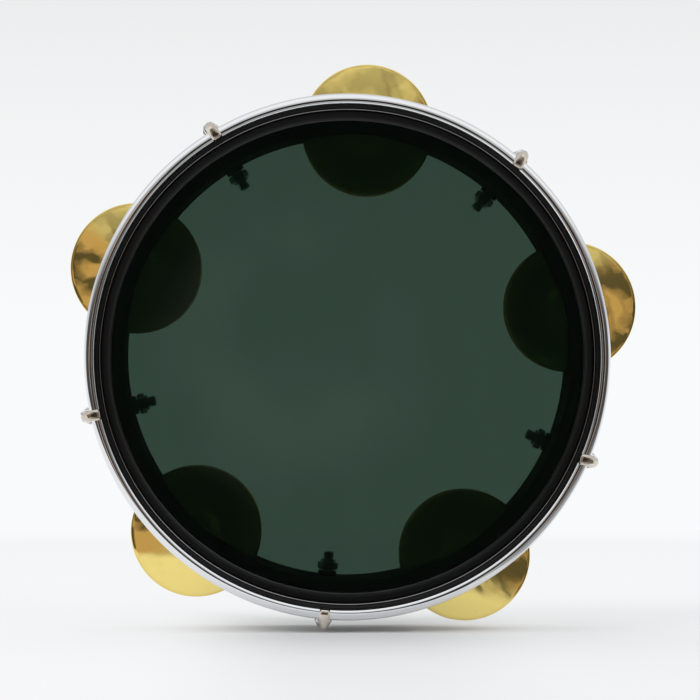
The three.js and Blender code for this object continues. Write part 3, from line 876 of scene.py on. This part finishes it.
def hex_reach(flats):
    """Distance from the middle to a hexagon's side at each angle: half the width over the flats,
    divided by the cosine of the angle from the nearest flat."""
    turn = np.arange(TURN_STEPS) * 360 / TURN_STEPS
    from_flat = (turn + 30) % 60 - 30
    return flats / 2 / np.cos(np.radians(from_flat))


def hex_nut(flats, bore, bottom, top):
    """A six-sided nut: up the flats, over a 30 degree chamfer, across the face, down the bore and
    back, with a small countersink at both ends of the bore."""
    side, face, sink = hex_reach(flats), flats / 2 * 0.94, 0.35
    fall = np.maximum(side - face, 0) * CHAMFER_SLOPE
    return loft([
        (side, bottom + fall), (side, top - fall), (face, top), (bore + sink, top),
        (bore, top - sink), (bore, bottom + sink), (bore + sink, bottom), (face, bottom),
    ])


# %% Tuning nuts
NUT_FLATS, NUT_BORE, NUT_FRONT, NUT_BACK = 7.0, 2.05, 34.3, 37.5

nut = along_depth(hex_nut(NUT_FLATS, NUT_BORE, NUT_FRONT, NUT_BACK), SHANK_RADIUS)
add_around(hook_angles, ("tuning_hex", [(nut, True, True)], "tuning_nut_{}", "tuning_nut_{}",
                         "nut_nickel", nickel, 20))

# %% [markdown]
# The lugs are small chromed castings. A pad with soft edges lies on the shell, and an ear stands on
# it for the hook's shank. The pad's outline shrinks as it rises, which rounds its edge and gives
# it a slight crown. The ear's outline is a keyhole: a circle round the shank and a web that
# widens towards the pad.

# %% Lugs
PAD_FRONT, PAD_BACK, PAD_HALF, PAD_THICK, PAD_CORNER = 20.0, 50.0, 6.0, 2.2, 2.0
PAD_EDGE, PAD_CROWN, PAD_MIDDLE, PAD_RISE = 0.9, 0.25, 35.0, 1.11
EAR_FRONT, EAR_BACK, EAR_RADIUS, EAR_BORE, EAR_EDGE, EAR_SINK = 22.0, 34.0, 3.1, 2.2, 0.7, 0.3
WEB_HALF, WEB_FOOT, WEB_SPREAD, WEB_SPREAD_FROM, WEB_SLOPE = 2.5, 108.2, 0.02, 5, 2


def pad_outline(shrink):
    """The pad seen from outside, as (across, depth): small round corners in front and a half
    circle at the back, all moved inwards by shrink."""
    half = PAD_HALF - shrink
    corner = max(PAD_CORNER - shrink, 0.3)
    corner_depth = PAD_FRONT + shrink + corner
    back_end = arc((0, PAD_BACK - PAD_HALF), half, 0, -180, 25)
    left_corner = arc((corner - half, corner_depth), corner, -180, -270, 9)
    right_corner = arc((half - corner, corner_depth), corner, -270, -360, 9)
    return np.concatenate([back_end, left_corner, right_corner])


def lug_pad():
    """The pad's outline at growing heights above the shell: up the side, round the edge, and in
    over the crown to one point; the underside follows the shell's curve."""
    middle = np.array([0, PAD_MIDDLE])
    steps = [(pad_outline(0) * 0 + middle, 0.0), (pad_outline(0.1), 0.0), (pad_outline(0), 0.1)]
    for angle in np.radians(np.linspace(0, 90, 7)):
        rise = PAD_THICK - PAD_CROWN - PAD_EDGE + PAD_EDGE * math.sin(angle)
        steps.append((pad_outline(PAD_EDGE * (1 - math.cos(angle))), rise))
    rim_line = pad_outline(PAD_EDGE)
    for share in (0.85, 0.6, 0.3, 0.0):
        steps.append((middle + share * (rim_line - middle), PAD_THICK - PAD_CROWN * share ** 2))
    flats = np.stack([flat for flat, _ in steps], axis=1)
    rises = np.array([rise for _, rise in steps])
    outward = on_skin(flats[..., 0], OUTER + 0.02) + rises * PAD_RISE
    return np.stack([flats[..., 0], outward, flats[..., 1]], axis=-1)


def ear_outline(shrink):
    """The keyhole round the shank, as (across, outward) from the shank's middle, for each angle:
    the circle of the ear, or the side of the web where that reaches further towards the pad."""
    turn = full_turn(TURN_STEPS)
    towards = (np.cos(turn) < -0.5) & (np.abs(np.tan(turn)) < WEB_SLOPE)
    run = (SHANK_RADIUS - WEB_FOOT) / np.maximum(-np.cos(turn), 1e-6)
    side = (WEB_HALF - shrink) / np.maximum(np.abs(np.sin(turn)), 1e-6)
    web = np.minimum(side * (1 + WEB_SPREAD * np.maximum(side - WEB_SPREAD_FROM, 0)), run)
    reach = np.where(towards, np.maximum(EAR_RADIUS - shrink, web), EAR_RADIUS - shrink)
    return np.stack([reach * np.sin(turn), reach * np.cos(turn)], axis=-1)


def lug_ear():
    """The keyhole carried along the shank, with rounded rims, and back through the bore."""
    quarter = np.radians(np.linspace(0, 90, 5))
    steps = []
    for end, inwards, turns in ((EAR_FRONT, 1, quarter[::-1]), (EAR_BACK, -1, quarter)):
        for turn in turns:
            outline = ear_outline(EAR_EDGE * (1 - math.cos(turn)))
            steps.append((outline, end + inwards * EAR_EDGE * (1 - math.sin(turn))))
    circle = spun(full_turn(TURN_STEPS), 1.0, 0.0)[:, :2]
    sunk = EAR_BORE + EAR_SINK
    steps += [(circle * sunk, EAR_BACK), (circle * EAR_BORE, EAR_BACK - EAR_SINK)]
    steps += [(circle * EAR_BORE, EAR_FRONT + EAR_SINK), (circle * sunk, EAR_FRONT)]
    return along_depth(np.stack([at_depth(flat, depth) for flat, depth in steps], axis=1), SHANK_RADIUS)


lug_grids = [(lug_pad(), True, False), (lug_ear(), True, True)]
add_around(hook_angles, ("cast_lug", lug_grids, "drum", "lug_{}", "lug_chrome", chrome, 35))

# %% [markdown]
# The lug screws are pan-head machine screws with a cross recess. The head is one surface over angle
# and radius: a flattened dome, from which the cross is pressed down. The threaded tail sticks out
# inside the shell with a domed end, which shows dark through the film.

# %% Lug screws
SCREW_DEPTH, SCREW_RADIUS, SCREW_PITCH, SCREW_THREAD = 44.0, 2.5, 0.8, 0.25
SCREW_THREAD_TOP, TAIL_END, TAIL_DOME = 98.2, 89.1, 0.8
HEAD_SEAT, HEAD_RADIUS, HEAD_HEIGHT, HEAD_FALL = 109.8, 4.5, 2.7, 1.3
CROSS_HALF, CROSS_REACH, CROSS_DEPTH, CROSS_SLOPE = 0.55, 2.3, 1.3, 0.25
CROSS_EDGE, CROSS_END = 0.12, 0.25
WASHER_LOW, WASHER_HIGH, WASHER_BORE, WASHER_RADIUS = 97.9, 100.46, 2.7, 4.25
LOCK_FLATS, LOCK_BORE, LOCK_TOP, LOCK_HEX_END, LOCK_END, COLLAR = 8.0, 2.55, 97.6, 94.4, 92.8, 3.6


def head_height(reach):
    """The head's height at a reach, for each angle: a dome that falls with the fourth power of the
    reach, less a cross whose arms are deepest near the middle."""
    across, up, _ = np.abs(spun(full_turn(TURN_STEPS), reach, 0)).T
    in_arm = np.clip((CROSS_HALF - np.minimum(across, up)) / CROSS_EDGE, 0, 1)
    in_reach = np.clip((CROSS_REACH - np.maximum(across, up)) / CROSS_END, 0, 1)
    dome = HEAD_HEIGHT - HEAD_FALL * (reach / HEAD_RADIUS) ** 4
    return dome - in_arm * in_reach * CROSS_DEPTH * (1 - CROSS_SLOPE * reach)


def lug_screw():
    """The head with its side, the threaded rod and the domed end of its tail."""
    reaches = [*np.linspace(0, 2.6, 27), *np.linspace(2.8, HEAD_RADIUS - 0.1, 10)]
    head = [(reach, head_height(reach)) for reach in reaches]
    head += [(HEAD_RADIUS, 1.25), (HEAD_RADIUS, 0.15), (HEAD_RADIUS - 0.15, 0), (SCREW_RADIUS, 0)]
    length = SCREW_THREAD_TOP - TAIL_END - TAIL_DOME
    thread = threaded(0, length, SCREW_RADIUS, SCREW_THREAD, SCREW_PITCH, TURN_STEPS)
    point = [(2.3, TAIL_DOME), (2.0, 0.5), (1.5, 0.2), (0.8, 0.05), (0, 0)]
    steps = [(reach, height + HEAD_SEAT) for reach, height in head]
    steps += [(reach, SCREW_THREAD_TOP - along) for reach, along in thread]
    steps += [(reach, TAIL_END + height) for reach, height in point]
    return along_radius(loft(steps), SCREW_DEPTH)


def curved_washer():
    """A round washer whose outer face follows the bore of the shell."""
    grid = loft([
        (WASHER_BORE, WASHER_HIGH), (WASHER_RADIUS - 0.2, WASHER_HIGH),
        (np.full(72, WASHER_RADIUS), WASHER_HIGH - 0.2), (WASHER_RADIUS, WASHER_LOW + 0.25),
        (WASHER_RADIUS - 0.25, WASHER_LOW), (WASHER_BORE, WASHER_LOW),
    ])
    outer_face = grid[..., 2] > (WASHER_LOW + WASHER_HIGH) / 2
    grid[..., 2] += np.where(outer_face, on_skin(grid[..., 0], BORE) - BORE, 0)
    return along_radius(grid, SCREW_DEPTH)


def lock_nut():
    """A six-sided nut with a round collar on the side of the drum's middle."""
    side, face = hex_reach(LOCK_FLATS), LOCK_FLATS / 2 * 0.95
    fall = np.maximum(side - face, 0) * CHAMFER_SLOPE
    grid = loft([
        (LOCK_BORE, LOCK_TOP), (face, LOCK_TOP), (side, LOCK_TOP - fall), (side, LOCK_HEX_END),
        (COLLAR + 0.15, LOCK_HEX_END - 0.2), (COLLAR, LOCK_HEX_END - 0.4), (COLLAR, LOCK_END + 0.4),
        (COLLAR - 0.3, LOCK_END + 0.05), (2.9, LOCK_END), (LOCK_BORE, LOCK_END + 0.2),
    ])
    return along_radius(grid, SCREW_DEPTH)


add_around(
    hook_angles,
    ("pan_screw", [(lug_screw(), True, False)], "drum", "lug_screw_{}", "screw_zinc", zinc, 35),
    ("curved_washer", [(curved_washer(), True, True)], "drum", "saddle_washer_{}", "screw_zinc",
     zinc, 35),
    ("collar_nut", [(lock_nut(), True, True)], "drum", "lock_nut_{}", "screw_zinc", zinc, 20),
)

# %% [markdown]
# ## Jingle pins
# Each station has one steel pin along the drum's axis, driven in from the back edge. Only the
# lengths inside the slits and the domed end in the back edge show.

# %% Pins
PIN_RADIUS, PIN_PLACE, PIN_FRONT, PIN_BACK = 1.5, 103.75, 8.0, 60.62

pin_steps = [(0, PIN_FRONT), (1.2, PIN_FRONT), (np.full(48, PIN_RADIUS), PIN_FRONT + 0.3)]
pin_steps += [(PIN_RADIUS, PIN_BACK - 0.32), (1.35, PIN_BACK - 0.1)]
pin_steps += [(0.9, PIN_BACK - 0.02), (0, PIN_BACK)]
pin = along_depth(loft(pin_steps), PIN_PLACE)
add_around(station_angles, ("steel_pin", [(pin, True, False)], "drum", "jingle_pin_{}",
                            "pin_steel", steel, 35))

# %% [markdown]
# ## Jingles
# The discs are pressed from sheet brass, bowed very slightly, with a cup in the middle, and
# polished like mirrors. A pattern that has to turn round the middle of each disc needs to know
# where that middle is, so every disc keeps its own coordinates in an attribute, in shares of its
# radius.

# %% Finish of the jingles
brass, bench = new_finish("polished_brass", (0.85, 0.66, 0.24))
spot = bench.node("ShaderNodeAttribute", {"attribute_name": "disc_place"})["Vector"]
reach = bench.length(spot)
lathe = (reach * 520).wave()
wobble = bench.noise(spot, 2.2, 2)
smudge = bench.noise(spot, 5.0, 5, 0.6)
speck = bench.noise(spot, 60.0, 2)
golds = (0.90, 0.73, 0.24), (0.80, 0.58, 0.17)
tarnish = 0.35 * smudge.rise(0.5, 0.8) + 0.5 * reach.rise(0.93, 1.0)
roughness = 0.015 + 0.04 * smudge.rise(0.5, 0.8) + 0.012 * speck
relief = 0.5 * wobble + 0.004 * lathe + 0.006 * speck
bench.output(bench.metal(golds, tarnish, roughness, relief, 0.00012))

# %% Jingles
DISC_RADIUS, DISC_THICK, DISC_BORE, DISC_SIDES = 29.5, 0.8, 2.5, 112
BOW_HEIGHT, BOW_RADIUS = 1.167, 29.6
CUP_RADIUS, CUP_HEIGHT, CUP_FULLNESS = 11.2, 2.55, 0.9
PAIR_HALF_GAP, HANG = 1.5, 0.7


def disc_height(reach):
    """Height of the disc's inner face above its rim: a shallow bow, and inside the cup's radius a
    dome on top of it."""
    bow = BOW_HEIGHT * (1 - (reach / BOW_RADIUS) ** 2)
    inside = np.clip(1 - (reach / CUP_RADIUS) ** 2, 0, 1)
    return bow + CUP_HEIGHT * inside ** CUP_FULLNESS


def disc_profile():
    """The disc's section as (reach, height): in along the inner face, round the bore, out along
    the outer face and round the rim."""
    half = DISC_THICK / 2
    flat_end = DISC_RADIUS - half
    reach = np.concatenate([np.linspace(flat_end, 13, 14), np.linspace(12, DISC_BORE, 16)])
    inner = np.stack([reach, disc_height(reach)], axis=-1)
    edge = arc((flat_end, disc_height(flat_end) + half), half, -90, 90, 9)[1:-1]
    return np.concatenate([inner, (inner + [0, DISC_THICK])[::-1], edge])


def keep_disc_place(piece, middle):
    """Stores each point's place from the disc's middle, in shares of its radius, as an attribute."""
    points = np.empty(len(piece.data.vertices) * 3)
    piece.data.vertices.foreach_get("co", points)
    place = (points.reshape(-1, 3) - middle) / (DISC_RADIUS * MM)
    kept = piece.data.attributes.new("disc_place", "FLOAT_VECTOR", "POINT")
    kept.data.foreach_set("vector", place[:, [0, 2, 1]].ravel())


reach, height = disc_profile().T
for station, angle in enumerate(station_angles, 1):
    pin_middle = turned((0, PIN_PLACE, 0), angle)
    for order, letter in enumerate("abcd"):
        side = 1 if order % 2 == 0 else -1
        middle = pin_middle + [-HANG, 0, SLIT_DEPTHS[order // 2] - side * PAIR_HALF_GAP]
        grid = middle + spun(full_turn(DISC_SIDES)[:, None], reach, -side * height)
        node = f"jingle_{station}_{letter}"
        disc = add_piece(f"brass_disc_{station}_{letter}", [(grid, True, True)], node, node,
                         [brass])
        keep_disc_place(disc, to_room(middle))
print("disc triangles:", count_triangles(disc))

# %% [markdown]
# ## Floor
# The drum stands on a pale sweep. Near the drum the floor is an ordinary pale surface that takes
# its shadow. Further out it fades into the tone of the backdrop for the eye and for reflections, so
# no horizon shows. Beside and behind the drum's foot the shadow is lightened with painted light:
# for the eye the lit floor is mixed there with the plain far tone. Less of it is mixed on the
# right, which leaves a painted shade on that side. Reflections find the table's front edge a third
# of a metre before the drum on the left and nearer on the right, and the dim room beyond it.

# %% Finish of the floor
FAR_TONE = (0.950, 0.958, 0.965)
# Shares of the far tone painted into the shadow beside the drum's foot, and how much less on the right.
SHADOW_LIGHTENING, RIGHT_PAINTED_SHADE = 0.72, 0.36
EDGE_SLANT, EDGE_TURN_X = 2.2, 0.03

pale, bench = new_finish("pale_sweep", (0.9, 0.9, 0.9))
point = bench.node("ShaderNodeTexCoord")["Object"]
reach = bench.length(point)
rays = bench.node("ShaderNodeLightPath")
seen = rays["Is Camera Ray"].at_least(rays["Is Glossy Ray"]).at_least(rays["Is Transmission Ray"])
mottle = bench.noise(point, 9, 3)
lit = bench.principled({
    "Base Color": bench.mix(mottle, (0.90, 0.91, 0.92), (0.92, 0.93, 0.94)),
    "Roughness": 0.8 + 0.1 * mottle,
    "Specular IOR Level": 0.2,
})
far = bench.node("ShaderNodeEmission", {}, {"Color": FAR_TONE, "Strength": 1.0})["Emission"]
parts = bench.split(point)
x, y = parts["X"], parts["Y"]
# Painted shade: towards the right front the shadow is lightened less.
painted_shade_corner = x.rise(-0.12, 0.15) * (1 - y.rise(0.10, 0.25))
painted_light_mask = x.size().rise(0.015, 0.09).at_least(y.rise(0.04, 0.15))
# Painted light: camera rays see the far tone mixed into the drum's shadow here.
beside = (SHADOW_LIGHTENING - RIGHT_PAINTED_SHADE * painted_shade_corner) * painted_light_mask
mixed = bench.blend(seen * reach.rise(0.35, 1.1).at_least(beside), lit, far)
open_air = bench.node("ShaderNodeBsdfTransparent")["BSDF"]
table_edge = y - EDGE_SLANT * (x + EDGE_TURN_X).at_least(0)
beyond = rays["Is Glossy Ray"] * (1 - table_edge.rise(-0.37, -0.30))
bench.output(bench.blend(beyond, mixed, open_air))

# %% Floor
FLOOR_HEIGHT = -0.00005

far_out = np.array([2, 4, 8, 16, 30])
lines = np.concatenate([-far_out[::-1], np.linspace(-1.2, 1.2, 25), far_out])
sweep = np.stack(np.broadcast_arrays(lines[:, None], lines[None, :], FLOOR_HEIGHT), axis=-1)
floor_mesh = new_mesh("pale_floor", [(sweep, False, False)])
floor_mesh.materials.append(pale)
floor = bpy.data.objects.new("pale_floor", floor_mesh)
bpy.context.collection.objects.link(floor)
if floor_mesh.polygons[0].normal.z < 0:
    floor_mesh.flip_normals()
print("floor triangles:", count_triangles(floor))

# %% [markdown]
# ## Last things
# Colours are shown as they are, without a film look.

# %% Finish
bpy.context.scene.view_settings.view_transform = "Standard"
